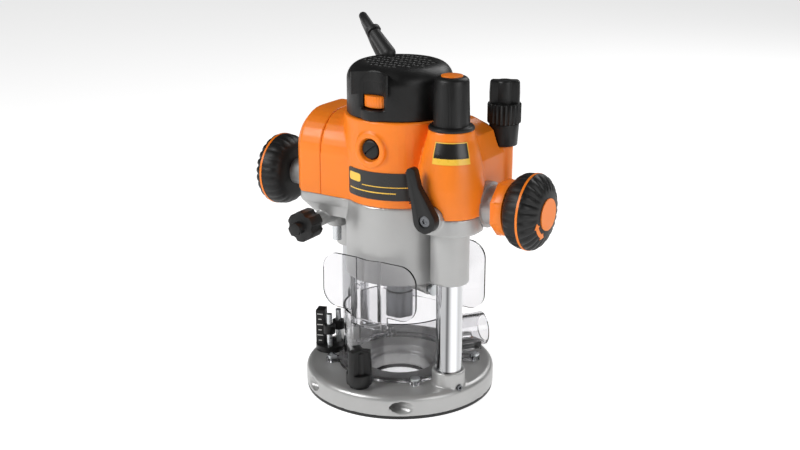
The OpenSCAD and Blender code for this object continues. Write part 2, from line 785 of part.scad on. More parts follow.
module pinion() {
    tip = pinion_r + gear_m - 0.08;
    root = pinion_r - 1.25 * gear_m;
    steps = [for (i = [0:3]) max(root, pinion_r * cos(20)) + (tip - max(root, pinion_r * cos(20))) * i / 3];
    points = [for (t = [0:pinion_teeth - 1]) let (c = 180 + t * 360 / pinion_teeth) each concat(
        [[root * cos(c - tooth_half(steps[0])), root * sin(c - tooth_half(steps[0]))]],
        [for (r = steps) [r * cos(c - tooth_half(r)), r * sin(c - tooth_half(r))]],
        [for (i = [3:-1:0]) let (r = steps[i]) [r * cos(c + tooth_half(r)), r * sin(c + tooth_half(r))]],
        [[root * cos(c + tooth_half(steps[0])), root * sin(c + tooth_half(steps[0]))]])];
    linear_extrude(8) polygon(points);
}

module winder_shaft() color([0.7, 0.71, 0.72]) {
    on_handle_axis(shaft_r, 49, 134);
    translate([column_x - 4, handle_y, handle_z]) rotate([90, 0, 90]) pinion();
}

// ---- plunge lock ----

module plunge_lever() color([0.12, 0.12, 0.11]) difference() {
    translate([lever_x, lever_y, lever_z]) rotate([90, 0, 0]) union() {
        hull() {
            cylinder(r = 9.8, h = 7.5, $fn = 32);
            translate([-9, 24, 1]) cylinder(r = 4.6, h = 6.5, $fn = 32);
        }
        hull() {
            translate([-8.6, 20, 1]) cylinder(r = 4.9, h = 6.5, $fn = 32);
            translate([-12.6, 38, 1]) cylinder(r = 4, h = 6.5, $fn = 32);
        }
    }
    translate([lever_x, lever_y + e, lever_z]) rotate([90, 0, 0]) cylinder(r = 3.2 + seat_fit, h = 20);
    translate([lever_x, lever_y - 4.5, lever_z]) rotate([90, 0, 0]) cylinder(r = 5, h = 20);
}

module lock_bolt() color([0.5, 0.5, 0.5]) translate([lever_x, 0, lever_z]) rotate([90, 0, 0]) difference() {
    union() {
        translate([0, 0, column_y + column_r + 0.3]) cylinder(r = 4, h = -lever_y - column_y - column_r - 0.6);
        translate([0, 0, -lever_y - 1]) cylinder(r = 3.2, h = 5.5);
        translate([0, 0, -lever_y + 4.5]) cylinder(r = 4.8, h = 2);
    }
    translate([0, 0, -lever_y + 5]) cylinder(r = 2.2, h = 3, $fn = 6);
}

// ---- depth stop ----

module depth_rod() color([0.75, 0.76, 0.77]) translate([rod_x, rod_y, 0])
    rod_z(rod_r, head_z + 18, head_z + 98);

module depth_knob() color([0.1, 0.1, 0.1]) translate([rod_x, 0, depth_knob_z]) rotate([90, 0, 0]) {
    translate([0, 0, -rod_y + rod_r + 0.4]) cylinder(r = 3, h = 44);
    translate([0, 0, 43.7]) cylinder(r = 8, h = 3);
    difference() {
        translate([0, 0, 46.5]) cylinder(r = 13, h = 15.5);
        for (a = [0:60:300]) rotate([0, 0, a]) translate([15.5, 0, 45]) cylinder(r = 4.2, h = 20);
    }
    translate([0, 0, 61.9]) cylinder(r = 5.5, h = 8);
}

// ---- micro winder ----

module micro_winder_sleeve() color([0.12, 0.12, 0.12]) translate([micro_x, micro_y, housing_top - 24.8])
    difference() {
        cylinder(r1 = 11.4, r2 = 12.4, h = 18);
        translate([0, 0, -e]) cylinder(r = 3 + run_fit, h = 40);
    }

module micro_winder_knob() color([0.1, 0.1, 0.1]) translate([micro_x, micro_y, housing_top - 6.3])
    difference() {
        union() {
            for (a = [0:15:345]) rotate([0, 0, a]) translate([13.1, 0, 0]) cylinder(r = 0.9, h = 16);
            cylinder(r = 13.2, h = 16.5);
            intersection() {
                translate([0, 0, 16]) cylinder(r1 = 13, r2 = 12.2, h = 20);
                union() for (a = [-20, 100, 220]) rotate([0, 0, a]) translate([5, 0, 26])
                    cube([18, 9, 21], center = true);
            }
            cylinder(r = 7.5, h = 35);
        }
        translate([0, 0, -e]) cylinder(r = 3 + seat_fit, h = 13);
    }

module micro_winder_spindle() color([0.65, 0.65, 0.66]) translate([micro_x, micro_y, 0])
    rod_z(3, split_z - 25, housing_top + 5);

module spindle_lock_pin() color([0.6, 0.6, 0.6]) rotate([0, 0, -column_angle])
    translate([11.6, 0, lock_z]) rotate([0, 90, 0]) {
        cylinder(r = 3, h = neck_r - 13);
        translate([0, 0, neck_r - 13.4]) cylinder(r = 4.8, h = 2.2);
    }

// ---- rotor ----

module armature_shaft() color([0.35, 0.36, 0.38]) difference() {
    union() {
        rod_z(8.9, head_z - 38, head_z - 18);
        rod_z(11, head_z - 18, head_z + 2.5);
        rod_z(8.5, head_z + 2.4, head_z + 17);
        rod_z(6, head_z + 16.9, housing_top - 9.5);
        rod_z(5, housing_top - 9.6, housing_top);
    }
    translate([0, 0, head_z - 38 - e]) cylinder(r = 7.7 + run_fit, h = 32);
    for (a = [0:90:270]) rotate([0, 0, a - column_angle]) translate([7, 0, lock_z])
        rotate([0, 90, 0]) cylinder(r = 3.3, h = 6);
}

module armature_core() color([0.5, 0.35, 0.25]) difference() {
    union() {
        rod_z(24, head_z + 42, head_z + 92);
        rod_z(19, head_z + 36, head_z + 99);
    }
    rod_z(6 + seat_fit, head_z, head_z + 120);
    for (a = [0:30:330]) rotate([0, 0, a]) translate([22, -1, head_z + 41]) cube([4, 2, 52]);
}

module commutator() color([0.75, 0.42, 0.22]) difference() {
    rod_z(13, brush_z - 9, brush_z + 9);
    rod_z(6 + seat_fit, brush_z - 12, brush_z + 12);
    for (a = [0:15:345]) rotate([0, 0, a]) translate([12.2, -0.25, brush_z - 10]) cube([2, 0.5, 17]);
}

module cooling_fan() color([0.15, 0.15, 0.16]) difference() {
    union() {
        rod_z(12, head_z + 20, head_z + 33);
        rod_z(38, head_z + 20, head_z + 22);
        for (a = [0:30:330]) rotate([0, 0, a]) translate([11, -0.8, head_z + 21]) cube([26, 1.6, 11]);
    }
    rod_z(6 + seat_fit, head_z, head_z + 60);
}

module collet() color([0.6, 0.61, 0.63]) difference() {
    union() {
        rod_z(7.7, head_z - 36, head_z - 8);
        translate([0, 0, head_z - 40.5]) cylinder(r1 = 7.4, r2 = 7.7, h = 4.6);
    }
    rod_z(collet_bore / 2, head_z - 42, head_z);
    for (a = [0, 90]) rotate([0, 0, a]) translate([0, 0, head_z - 36]) cube([20, 0.6, 24], center = true);
}

module collet_nut() color([0.25, 0.26, 0.28]) difference() {
    intersection() {
        rod_z(nut_d / 2, head_z - 41.5, head_z - 19);
        translate([0, 0, head_z - 50]) cylinder(r = nut_d / 2 + 0.9, h = 40, $fn = 6);
    }
    rod_z(8.9 + seat_fit, head_z - 38.2, head_z - 10);
    rod_z(7.75 + seat_fit, head_z - 44, head_z - 30);
}

module speed_dial() color([1, 0.42, 0.08]) translate([0, -29, dial_z - 4.6]) difference() {
    union() {
        cylinder(r = 13.6, h = 9.2);
        translate([0, 0, 9]) cylinder(r = 2.5, h = 1.2);
    }
    for (a = [0:10:350]) rotate([0, 0, a]) translate([13.9, 0, -e]) cylinder(r = 0.55, h = 12, $fn = 6);
}

module labels() color([0.08, 0.08, 0.08]) {
    difference() {
        translate([0, 0, split_z + 7]) rotate([0, 0, -123]) rotate_extrude(angle = 93)
            translate([neck_r + 0.05, 0]) square([0.4, 23]);
        translate([column_x, -column_y, 0]) rod_z(30, 0, 400);
    }
    at_column(1) translate([0, 0, split_z + 45]) rotate([0, 0, -98]) rotate_extrude(angle = 76)
        polygon([[24.15, 0], [24.5, 0], [23.05, 7], [20.05, 17], [19.7, 17], [22.7, 7]]);
}

// ---- plunge spring ----

spring_turns = 22;
spring_low = 101;
spring_high = tower_top + 37;
spring_r = 5.2;
spring_sides = 5;

function spring_point(t) = let (a = t * 360 * spring_turns)
    [spring_r * cos(a), spring_r * sin(a), spring_low + (spring_high - spring_low) * t];

module plunge_spring() color([0.5, 0.5, 0.52]) at_column(1)
    sweep([for (i = [0:spring_turns * 9]) spring_point(i / (spring_turns * 9))], 0.7, spring_sides);

// ---- sweeping a round section along points ----

function unit(v) = v / norm(v);
function tangent(p, i) = unit(p[min(i + 1, len(p) - 1)] - p[max(i - 1, 0)]);
function side_of(t) = unit(cross(t, abs(t[2]) > 0.9 ? [1, 0.35, 0] : [0, 0, 1]));
function carried(p, i, s) = i == len(p) ? [] :
    let (t = tangent(p, i), u = unit(s - t * (s * t))) concat([u], carried(p, i + 1, u));

module sweep(p, r, sides) {
    frames = carried(p, 0, side_of(tangent(p, 0)));
    n = len(p);
    points = [for (i = [0:n - 1], k = [0:sides - 1]) let (u = frames[i], v = cross(tangent(p, i), u),
        a = 360 * k / sides) p[i] + r * (cos(a) * u + sin(a) * v)];
    walls = [for (i = [0:n - 2], k = [0:sides - 1]) let (a = i * sides + k,
        b = i * sides + (k + 1) % sides) each [[a, b + sides, b], [a, a + sides, b + sides]]];
    ends = [[for (k = [0:sides - 1]) k], [for (k = [sides - 1:-1:0]) (n - 1) * sides + k]];
    polyhedron(points, concat(walls, ends));
}

// ---- supply cord ----

relief_base = [-24, 20];

module strain_relief() color([0.06, 0.06, 0.06]) {
    translate([relief_base[0], relief_base[1], cap_top - 6]) cylinder(r = 6, h = 8);
    difference() {
        translate([relief_base[0], relief_base[1], cap_top + 1]) rotate([0, 0, 158]) rotate([0, 55, 0]) {
            cylinder(r1 = 6.2, r2 = 4.9, h = 28.8);
            translate([0, 0, 25.6]) cylinder(r = 6.6, h = 3.2);
            sphere(6.2);
        }
        translate([relief_base[0] - 16, relief_base[1] - 8, cap_top - 20]) cube([24, 16, 20]);
    }
}

// the cord leaves the relief, turns over backwards and comes down behind the head to the coil
cord_path = [[-46.6, 29.2, 302.6], [-54.1, 33.4, 307.2], [-61.3, 39.6, 309.5], [-67.4, 47.2, 309.3],
    [-78.4, 63.6, 306.5], [-89.5, 80.5, 303.2], [-100.5, 97.5, 299.2], [-111, 114, 294], [-120, 130, 287],
    [-126, 146, 276], [-128, 157, 263.5], [-126, 166.5, 247.5], [-122.5, 173, 229], [-118.5, 177, 210],
    [-115, 180, 190.5], [-112.5, 182.5, 171], [-110.5, 184.5, 151], [-109, 186, 131], [-107.2, 188, 111.5],
    [-105.6, 190, 91.5], [-104.3, 192.5, 71.5], [-103, 196.5, 52.5], [-101.6, 203.5, 34.5], [-100.8, 214, 19],
    [-100.2, 226, 8.5], [-100, 240, 4]];

module cord_tube() color([0.05, 0.05, 0.05]) sweep(cord_path, cord_d / 2, 8);

module cord_coil() color([0.05, 0.05, 0.05]) translate([coil_x, coil_y, 0]) rotate_extrude()
    translate([coil_in, 0]) square([coil_out - coil_in, coil_h]);

// a two-blade plug that lies on the coil
module power_plug() color([0.06, 0.06, 0.06]) translate([coil_x, coil_y, coil_h]) rotate([0, 0, -18])
    translate([-36.9, -8.2, 0]) {
        difference() {
            translate([-17, 31, 0]) cube([34, 25, 18]);
            for (y = [31, 56]) translate([0, y, 9]) rotate([0, 0, 45]) cube([4.5, 4.5, 30], center = true);
        }
        translate([16.9, 43.5, 9]) rotate([0, 90, 0]) cylinder(r1 = 7, r2 = 5.2, h = 20);
        for (y = [-6.35, 6.35]) translate([-34, 43.5 + y - 0.75, 5.8]) cube([17.1, 1.5, 6.3]);
    }

base_casting();
base_sole();
sole_screws();
left_column();
right_column();
column_set_screws();
front_guard();
rear_guard();
dust_port();
guard_screws();
fence_knob();
turret_body();
turret_studs();
turret_nuts();
head_casting();
column_bushes();
motor_housing();
left_cover();
housing_screws();
end_cap();
spring_cover();
spring_cover_disc();
brush_caps();
brush_holders();
carbon_brushes();
field_stack();
field_coils();
motor_bearings();
speed_board();
switch_body();
switch_rocker();
handle_spigots();
left_knob();
left_knob_band();
strain_relief();
labels();
micro_winder_sleeve();
micro_winder_knob();
micro_winder_spindle();
spindle_lock_pin();
armature_shaft();
armature_core();
commutator();
cooling_fan();
collet();
collet_nut();
speed_dial();
winder_shaft();
right_knob();
right_knob_band();
right_knob_cap();
selector_ring();
plunge_lever();
lock_bolt();
depth_rod();
depth_knob();
plunge_spring();
cord_tube();
cord_coil();
power_plug();
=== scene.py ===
"""Looks for the twin-column plunge router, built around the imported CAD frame. Metres, +Z up."""
import json
import math

import bmesh
import bpy
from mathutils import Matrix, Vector


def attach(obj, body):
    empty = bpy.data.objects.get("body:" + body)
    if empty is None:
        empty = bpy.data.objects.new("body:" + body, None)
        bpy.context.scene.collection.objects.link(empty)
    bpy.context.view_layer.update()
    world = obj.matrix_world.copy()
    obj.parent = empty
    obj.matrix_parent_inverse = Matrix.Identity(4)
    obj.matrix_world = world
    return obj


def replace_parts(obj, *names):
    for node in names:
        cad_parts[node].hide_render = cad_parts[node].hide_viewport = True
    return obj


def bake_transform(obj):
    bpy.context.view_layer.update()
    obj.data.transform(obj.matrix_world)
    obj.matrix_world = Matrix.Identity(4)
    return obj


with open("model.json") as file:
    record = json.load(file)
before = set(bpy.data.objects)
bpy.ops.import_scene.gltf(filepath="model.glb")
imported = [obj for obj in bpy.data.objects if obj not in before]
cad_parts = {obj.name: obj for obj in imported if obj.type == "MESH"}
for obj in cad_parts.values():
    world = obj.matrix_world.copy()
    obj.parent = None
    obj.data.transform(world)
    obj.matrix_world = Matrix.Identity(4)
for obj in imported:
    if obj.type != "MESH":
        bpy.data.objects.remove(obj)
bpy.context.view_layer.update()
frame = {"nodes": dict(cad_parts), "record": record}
nodes = frame["nodes"]
scene = bpy.context.scene
MM = 0.001


# ---- camera ----

def add_camera():
    data = bpy.data.cameras.new("camera")
    data.lens, data.sensor_width = 58.2, 36
    cam = bpy.data.objects.new("camera", data)
    cam.location = (0.5582, -0.8902, 0.4822)
    cam.rotation_euler = (math.radians(72.1), 0, math.radians(32.09))
    scene.collection.objects.link(cam)
    scene.camera = cam


# ---- materials ----

def new_material(name, color, metallic=0.0, roughness=0.5, **inputs):
    mat = bpy.data.materials.new(name)
    mat.use_nodes = True
    shader = mat.node_tree.nodes["Principled BSDF"]
    shader.inputs["Base Color"].default_value = (*color, 1)
    shader.inputs["Metallic"].default_value = metallic
    shader.inputs["Roughness"].default_value = roughness
    for key, value in inputs.items():
        shader.inputs[key.replace("_", " ")].default_value = value
    mat.diffuse_color = (*color, 1)
    return mat


def add_node(mat, kind, **settings):
    node = mat.node_tree.nodes.new(kind)
    for key, value in settings.items():
        if key in node.inputs:
            node.inputs[key].default_value = value
        else:
            setattr(node, key, value)
    return node


def grain(mat, scale, height, rough, tint=0.0, stretch=(1, 1, 1)):
    """Surface grain: a noise drives bump, roughness and a slight colour change."""
    tree, shader = mat.node_tree, mat.node_tree.nodes["Principled BSDF"]
    place = add_node(mat, "ShaderNodeTexCoord")
    mapping = add_node(mat, "ShaderNodeMapping", Scale=stretch)
    fine = add_node(mat, "ShaderNodeTexNoise", Scale=scale, Detail=4.0, Roughness=0.6)
    broad = add_node(mat, "ShaderNodeTexNoise", Scale=scale / 40, Detail=3.0)
    bump = add_node(mat, "ShaderNodeBump", Strength=0.6, Distance=height)
    spread = add_node(mat, "ShaderNodeMapRange")
    spread.inputs["To Min"].default_value, spread.inputs["To Max"].default_value = rough
    spread.inputs["From Min"].default_value, spread.inputs["From Max"].default_value = 0.3, 0.7
    link = tree.links.new
    link(place.outputs["Object"], mapping.inputs["Vector"])
    link(mapping.outputs["Vector"], fine.inputs["Vector"])
    link(mapping.outputs["Vector"], broad.inputs["Vector"])
    link(fine.outputs["Fac"], bump.inputs["Height"])
    link(bump.outputs["Normal"], shader.inputs["Normal"])
    link(broad.outputs["Fac"], spread.inputs["Value"])
    link(spread.outputs["Result"], shader.inputs["Roughness"])
    if tint:
        ramp = add_node(mat, "ShaderNodeValToRGB")
        base = shader.inputs["Base Color"].default_value[:3]
        ramp.color_ramp.elements[0].position, ramp.color_ramp.elements[1].position = 0.3, 0.7
        ramp.color_ramp.elements[0].color = (*[c * (1 - tint) for c in base], 1)
        ramp.color_ramp.elements[1].color = (*[min(1, c * (1 + tint)) for c in base], 1)
        link(broad.outputs["Fac"], ramp.inputs["Fac"])
        link(ramp.outputs["Color"], shader.inputs["Base Color"])
    return mat


def chrome_with_painted_reflection(mat):
    """Ground chrome: fine scratches round the column, and painted reflection and shade: lighter and darker
    bands in the base colour, darker where a column turns from the light.
    """
    tree, shader = mat.node_tree, mat.node_tree.nodes["Principled BSDF"]
    link = tree.links.new
    place = add_node(mat, "ShaderNodeTexCoord")
    turn = add_node(mat, "ShaderNodeVectorMath", operation="DOT_PRODUCT")
    turn.inputs[1].default_value = (0.93, 0.36, 0)
    # painted reflection: the base colour follows how far each face turns towards (0.93, 0.36, 0), in light and
    # dark bands
    painted_reflection_bands = add_node(mat, "ShaderNodeValToRGB")
    stops = [(0.0, 0.5), (0.42, 0.42), (0.5, 0.1), (0.56, 0.28), (0.66, 0.75), (0.8, 0.85), (0.9, 0.5),
             (1.0, 0.7)]
    ramp = painted_reflection_bands.color_ramp
    while len(ramp.elements) < len(stops):
        ramp.elements.new(0.5)
    for element, (at, tone) in zip(ramp.elements, stops):
        element.position, element.color = at, (tone, tone * 1.01, tone * 1.03, 1)
    half = add_node(mat, "ShaderNodeMapRange")
    half.inputs["From Min"].default_value = -1
    link(place.outputs["Normal"], turn.inputs[0])
    link(turn.outputs["Value"], half.inputs["Value"])
    link(half.outputs["Result"], painted_reflection_bands.inputs["Fac"])
    link(painted_reflection_bands.outputs["Color"], shader.inputs["Base Color"])
    mapping = add_node(mat, "ShaderNodeMapping", Scale=(1, 1, 60))
    scratch = add_node(mat, "ShaderNodeTexNoise", Scale=90, Detail=4.0)
    spread = add_node(mat, "ShaderNodeMapRange")
    spread.inputs["To Min"].default_value, spread.inputs["To Max"].default_value = 0.06, 0.16
    bump = add_node(mat, "ShaderNodeBump", Strength=0.15, Distance=0.00001)
    link(place.outputs["Object"], mapping.inputs["Vector"])
    link(mapping.outputs["Vector"], scratch.inputs["Vector"])
    link(scratch.outputs["Fac"], spread.inputs["Value"])
    link(spread.outputs["Result"], shader.inputs["Roughness"])
    link(scratch.outputs["Fac"], bump.inputs["Height"])
    link(bump.outputs["Normal"], shader.inputs["Normal"])
    return mat


MATERIALS = {
    "silver": grain(new_material("cast_silver", (0.43, 0.43, 0.425), 0.5),
                    2600, 0.00006, (0.33, 0.43), 0.03),
    "chrome": chrome_with_painted_reflection(new_material("column_chrome", (0.8, 0.81, 0.83), 1.0)),
    "steel": grain(new_material("zinc_steel", (0.62, 0.64, 0.65), 1.0),
                   1800, 0.000006, (0.22, 0.34), 0.03),
    "dark_steel": grain(new_material("dark_steel", (0.16, 0.165, 0.175), 1.0),
                        1800, 0.000004, (0.3, 0.42), 0.05),
    "orange": grain(new_material("orange_plastic", (0.9, 0.215, 0.01), 0, Specular_IOR_Level=0.45,
                    Subsurface_Weight=0.05, Subsurface_Scale=0.002), 3200, 0.00004, (0.34, 0.44), 0.02),
    "black": grain(new_material("black_plastic", (0.007, 0.007, 0.007), Specular_IOR_Level=0.34),
                   2800, 0.00008, (0.36, 0.5), 0.08),
    "grip": grain(new_material("soft_grip", (0.007, 0.007, 0.007), Specular_IOR_Level=0.34),
                  1900, 0.0001, (0.4, 0.55), 0.1),
    "sole": grain(new_material("sole_plastic", (0.008, 0.008, 0.008)), 1500, 0.00006, (0.4, 0.55), 0.1),
    "label": grain(new_material("label_film", (0.01, 0.009, 0.008)), 3000, 0.00001, (0.25, 0.35), 0.05),
    "pale": grain(new_material("pale_mark", (0.6, 0.6, 0.58)), 3000, 0.00001, (0.3, 0.4), 0.03),
    "yellow": grain(new_material("label_yellow", (0.9, 0.55, 0.06)), 3000, 0.00001, (0.25, 0.35), 0.03),
    "brass": grain(new_material("brass", (0.75, 0.5, 0.2), 1.0), 1500, 0.00003, (0.3, 0.42), 0.04),
    "copper": grain(new_material("copper", (0.6, 0.22, 0.09), 1.0), 1500, 0.00005, (0.3, 0.45), 0.08),
    "lamination": grain(new_material("lamination", (0.14, 0.12, 0.11), 0.6), 900, 0.0001, (0.45, 0.6), 0.1,
                        stretch=(0.05, 0.05, 2)),
    "carbon": grain(new_material("carbon", (0.03, 0.03, 0.033)), 1500, 0.00005, (0.5, 0.7), 0.1),
    "board": grain(new_material("circuit_board", (0.01, 0.12, 0.04)), 1200, 0.00003, (0.35, 0.5), 0.1),
    "red": grain(new_material("switch_red", (0.4, 0.01, 0.006)), 3000, 0.00002, (0.3, 0.4), 0.03),
    "cord": grain(new_material("cord_rubber", (0.01, 0.01, 0.01)), 2400, 0.00008, (0.45, 0.6), 0.08),
    "clear": grain(new_material("clear_plastic", (0.8, 0.795, 0.81), 0, Transmission_Weight=1.0, IOR=1.4),
                   700, 0.00001, (0.02, 0.05)),
}
SLOT_MATERIAL = {
    "painted_silver": "silver", "chrome": "chrome", "zinc_steel": "steel", "bearing_steel": "steel",
    "dark_steel": "dark_steel", "clear_plastic": "clear", "sole_plastic": "sole", "orange_plastic": "orange",
    "black_plastic": "black", "soft_grip": "grip", "label_print": "label", "bronze": "brass", "brass": "brass",
    "copper": "copper", "lamination": "lamination", "carbon": "carbon", "circuit_board": "board",
    "switch_red": "red", "cord_rubber": "cord",
}
for entry in frame["record"]["subparts"]:
    mesh = nodes[entry["node"]].data
    mesh.materials.clear()
    mesh.materials.append(MATERIALS[SLOT_MATERIAL[entry["material_slot"]]])


# ---- shapes ----

def make_object(name, verts, faces, material, smooth=True):
    mesh = bpy.data.meshes.new(name)
    mesh.from_pydata([tuple(v) for v in verts], [], faces)
    mesh.materials.append(material)
    mesh.polygons.foreach_set("use_smooth", [smooth] * len(mesh.polygons))
    mesh.update()
    obj = bpy.data.objects.new(name, mesh)
    scene.collection.objects.link(obj)
    return obj


def tube(name, path, radius, material, sides):
    """A closed round tube along a list of points, with flat ends."""
    path = [Vector(p) for p in path]
    rings, side = [], None
    for i, p in enumerate(path):
        along = (path[min(i + 1, len(path) - 1)] - path[max(i - 1, 0)]).normalized()
        side = along.orthogonal() if side is None else side - along * side.dot(along)
        side.normalize()
        up = along.cross(side)
        turn = [2 * math.pi * k / sides for k in range(sides)]
        rings.append([p + radius * (math.cos(a) * side + math.sin(a) * up) for a in turn])
    faces = [(i * sides + k, i * sides + (k + 1) % sides, (i + 1) * sides + (k + 1) % sides,
              (i + 1) * sides + k) for i in range(len(path) - 1) for k in range(sides)]
    faces.append(tuple(range(sides - 1, -1, -1)))
    faces.append(tuple((len(path) - 1) * sides + k for k in range(sides)))
    return make_object(name, [v for ring in rings for v in ring], faces, material)


def smooth_path(points, step):
    """Catmull-Rom curve through the points, resampled at an even step."""
    pts = [Vector(p) for p in points]
    pts = [2 * pts[0] - pts[1]] + pts + [2 * pts[-1] - pts[-2]]
    fine = []
    for i in range(1, len(pts) - 2):
        a, b, c, d = pts[i - 1:i + 3]
        for k in range(12):
            t = k / 12
            fine.append(0.5 * (2 * b + (c - a) * t + (2 * a - 5 * b + 4 * c - d) * t * t
                               + (3 * b - a - 3 * c + d) * t ** 3))
    fine.append(pts[-2])
    out, carry = [fine[0]], 0.0
    for a, b in zip(fine, fine[1:]):
        length = (b - a).length
        while carry + length >= step:
            a = a.lerp(b, (step - carry) / length)
            length, carry = (b - a).length, 0.0
            out.append(a)
        carry += length
    if carry > step * 0.3:
        out.append(fine[-1])
    else:
        out[-1] = fine[-1]
    return out


def path_length(path):
    return sum((b - a).length for a, b in zip(path, path[1:]))


# ---- supply cord ----

CORD_ROUTE = [
    (-45.9, 28.8, 302.0), (-46.6, 29.2, 302.6), (-54.1, 33.4, 307.2), (-61.3, 39.6, 309.5),
    (-67.4, 47.2, 309.3), (-78.4, 63.6, 306.5), (-89.5, 80.5, 303.2), (-100.5, 97.5, 299.2),
    (-111, 114, 294), (-120, 130, 287),
    (-126, 146, 276), (-128, 157, 263.5), (-126, 166.5, 247.5), (-122.5, 173, 229), (-118.5, 177, 210),
    (-115, 180, 190.5), (-112.5, 182.5, 171), (-110.5, 184.5, 151), (-109, 186, 131), (-107.2, 188, 111.5),
    (-105.6, 190, 91.5), (-104.3, 192.5, 71.5), (-103, 196.5, 52.5), (-101.6, 203.5, 34.5), (-100.8, 214, 19),
    (-100.2, 226, 8.5), (-100, 240, 4), (-99.9, 249, 4), (-99.9, 258, 4),
]
CORD_D = 7.5
FLOOR_Z = 4.0  # the cord's middle where it lies on the floor
PITCH = 7.6  # from one turn to the next, sideways and upwards
COIL_CENTRE = (-152, 258)
COIL_RADIUS = 52.1
LAYER_TURNS = 3
TOP_TURNS = 2.2  # turns of the third layer
CLIMB_TURNS = 0.55  # the last part of them, which climbs to the plug
STEP_TURNS = 0.25  # the part of a turn in which the cord steps from layer to layer
POINTS_PER_TURN = 24
PLUG_ANGLE = -18
BOOT = (-1.0, 35.3, 32)  # the plug's boot: along and across the plug from the coil's centre, and its height


def coil_points():
    """Two spiral layers and part of a third, then a rise into the boot of the plug that lies on them."""
    points = []
    for layer in range(3):
        layer_points = math.ceil(POINTS_PER_TURN * (LAYER_TURNS if layer < 2 else TOP_TURNS))
        for k in range(1, layer_points + 1):
            turns = min(k / POINTS_PER_TURN, TOP_TURNS) if layer == 2 else k / POINTS_PER_TURN
            inward = PITCH * turns
            radius = COIL_RADIUS - inward if layer != 1 else COIL_RADIUS - LAYER_TURNS * PITCH + inward
            rise = max(0.0, turns - LAYER_TURNS + STEP_TURNS) / STEP_TURNS if layer < 2 else 0.0
            drop = max(0.0, STEP_TURNS - turns) / STEP_TURNS if layer > 0 else 0.0
            height = FLOOR_Z + PITCH * (layer + rise * rise / 2 - drop * drop / 2)
            if layer == 2:
                climb = max(0.0, (turns - TOP_TURNS + CLIMB_TURNS) / CLIMB_TURNS)
                height += (BOOT[2] - FLOOR_Z - 2 * PITCH) * climb * climb * (3 - 2 * climb)
            angle = 2 * math.pi * turns
            points.append((COIL_CENTRE[0] + radius * math.cos(angle),
                           COIL_CENTRE[1] + radius * math.sin(angle), height))
    return points


def add_cord():
    """The whole cord as one tube, and the path along its middle."""
    turn = math.radians(PLUG_ANGLE)
    boot = (COIL_CENTRE[0] + BOOT[0] * math.cos(turn) - BOOT[1] * math.sin(turn),
            COIL_CENTRE[1] + BOOT[0] * math.sin(turn) + BOOT[1] * math.cos(turn), BOOT[2])
    path = smooth_path([Vector(p) * MM for p in CORD_ROUTE + coil_points() + [boot]], 0.003)
    cord = tube("supply_cord", path, CORD_D / 2 * MM, MATERIALS["cord"], 12)
    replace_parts(cord, "cord_tube", "cord_coil")
    return cord, path


add_camera()
cord, cord_path = add_cord()
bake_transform(cord)
tuple(cord_path[0])
round(path_length(cord_path), 2)
[tuple(p) for p in cord_path]


# ---- CAD pieces with soft moulded edges ----

NODE_BODY = {node: body for body, members in frame["record"]["behaviour"]["bodies"].items()
             for node in members}
NODE_SLOT = {entry["node"]: entry["material_slot"] for entry in frame["record"]["subparts"]}


def finish_mesh(obj):
    """Applies the object's modifiers to its mesh."""
    made = bpy.data.meshes.new_from_object(obj.evaluated_get(bpy.context.evaluated_depsgraph_get()))
    obj.modifiers.clear()
    old, obj.data = obj.data, made
    bpy.data.meshes.remove(old)


def shade(mesh, angle=32):
    """Smooth shading, with a hard line at edges that turn more than angle degrees."""
    mesh.polygons.foreach_set("use_smooth", [True] * len(mesh.polygons))
    bm = bmesh.new()
    bm.from_mesh(mesh)
    for edge in bm.edges:
        edge.smooth = len(edge.link_faces) == 2 and edge.calc_face_angle(0) < math.radians(angle)
    bm.to_mesh(mesh)
    bm.free()


BEVEL = 0.35
SHARP = math.radians(38)  # edges that turn more than this are rounded off
CASTINGS = {"head_casting": 1.0, "motor_housing": 1.0, "left_cover": 0.9, "end_cap": 0.8,
            "base_casting": 0.9}  # node, voxel in mm
MOULDINGS = ("fence_knob", "turret_body", "turret_nuts", "spring_cover", "spring_cover_disc", "handle_spigots",
             "selector_ring", "plunge_lever", "depth_knob", "micro_winder_sleeve", "speed_dial", "base_sole",
             "collet_nut", "guard_screws", "switch_body", "switch_rocker")


def copy_of(node, flatten):
    """A copy of a CAD node's mesh, welded, with flat stretches joined into single faces if flatten is set."""
    mesh = nodes[node].data.copy()
    mesh.name = node + "_look"
    obj = bpy.data.objects.new(node + "_look", mesh)
    scene.collection.objects.link(obj)
    bm = bmesh.new()
    bm.from_mesh(mesh)
    bmesh.ops.remove_doubles(bm, verts=bm.verts, dist=2e-6)
    if flatten:
        bmesh.ops.dissolve_limit(bm, angle_limit=math.radians(0.6), verts=bm.verts, edges=bm.edges)
    bm.to_mesh(mesh)
    bm.free()
    return obj


def stand_for(obj, node, material=None):
    """obj is shown in place of the CAD node, on the same body."""
    obj.data.materials.clear()
    obj.data.materials.append(material or MATERIALS[SLOT_MATERIAL[NODE_SLOT[node]]])
    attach(obj, NODE_BODY[node])
    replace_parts(obj, node)


def soften(node, voxel):
    """A casting or shell with its edges and inner corners melted together, on a grid of voxel mm."""
    obj = copy_of(node, flatten=False)
    remesh = obj.modifiers.new("remesh", "REMESH")
    remesh.mode, remesh.voxel_size, remesh.use_smooth_shade = "VOXEL", voxel * MM, True
    smooth = obj.modifiers.new("smooth", "SMOOTH")
    smooth.factor, smooth.iterations = 0.5, 6
    thin = obj.modifiers.new("thin", "DECIMATE")
    thin.ratio = 0.3
    finish_mesh(obj)
    shade(obj.data, 50)
    stand_for(obj, node)


def round_edges(node, material=None):
    """A small moulding with its sharp edges rounded off."""
    obj = copy_of(node, flatten=True)
    bevel = obj.modifiers.new("bevel", "BEVEL")
    bevel.width, bevel.segments = BEVEL * MM, 2
    bevel.limit_method, bevel.angle_limit = "ANGLE", SHARP
    bevel.use_clamp_overlap, bevel.miter_outer = True, "MITER_ARC"
    finish_mesh(obj)
    shade(obj.data)
    stand_for(obj, node, material)


